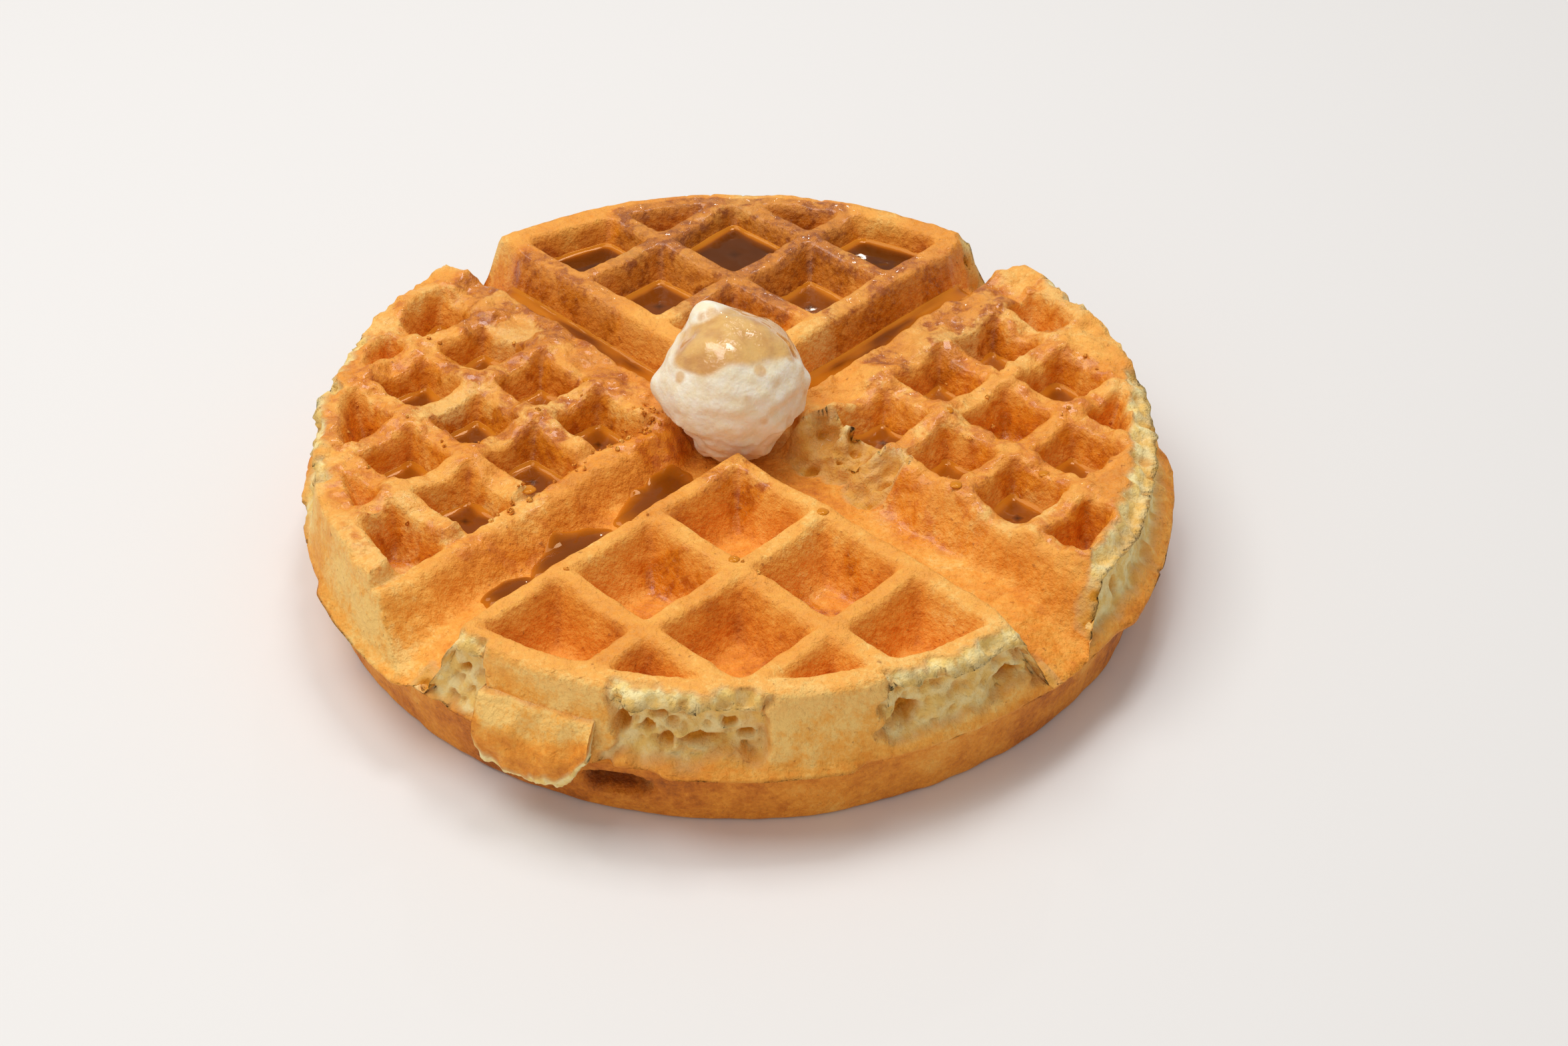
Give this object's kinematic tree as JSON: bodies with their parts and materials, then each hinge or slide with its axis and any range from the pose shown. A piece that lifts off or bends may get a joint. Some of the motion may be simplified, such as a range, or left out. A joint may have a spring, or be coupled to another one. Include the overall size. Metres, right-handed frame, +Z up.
{
  "type": "waffle",
  "caption": "Round thick waffle in four quarters of square pockets parted by a cross of channels, with a scoop of butter and pools of syrup.",
  "frame": {"origin": "centre of the box round the whole, on the plane that the waffle rests on", "axes": "+Z up, out of the pocketed top; -Y to the front, the side with the hanging flap of crust; +X to the right; the channels run diagonally between X and Y"},
  "size_m": [0.1808, 0.1826, 0.0521],
  "materials": {
    "crust": "baked golden crust",
    "butter": "soft whipped butter",
    "syrup": "clear amber syrup"
  },
  "bodies": {
    "root": {"butter_scoop": "butter", "syrup_far_0_1": "syrup", "syrup_far_0_2": "syrup", "syrup_far_1_0": "syrup", "syrup_far_1_1": "syrup", "syrup_far_1_2": "syrup", "syrup_far_2_0": "syrup", "syrup_far_2_1": "syrup", "syrup_left_0_0": "syrup", "syrup_left_0_1": "syrup", "syrup_left_0_2": "syrup", "syrup_left_1_0": "syrup", "syrup_left_1_1": "syrup", "syrup_left_1_2": "syrup", "syrup_left_2_0": "syrup", "syrup_left_2_1": "syrup", "syrup_left_3_0": "syrup", "syrup_puddle_middle": "syrup", "syrup_puddle_near_butter": "syrup", "syrup_puddle_outer": "syrup", "syrup_right_0_0": "syrup", "syrup_right_0_1": "syrup", "syrup_right_0_2": "syrup", "syrup_right_1_0": "syrup", "syrup_right_1_2": "syrup", "syrup_right_2_0": "syrup", "syrup_right_2_1": "syrup", "syrup_stream_far_left": "syrup", "syrup_stream_far_right": "syrup", "waffle": "crust"}
  },
  "joints": []
}
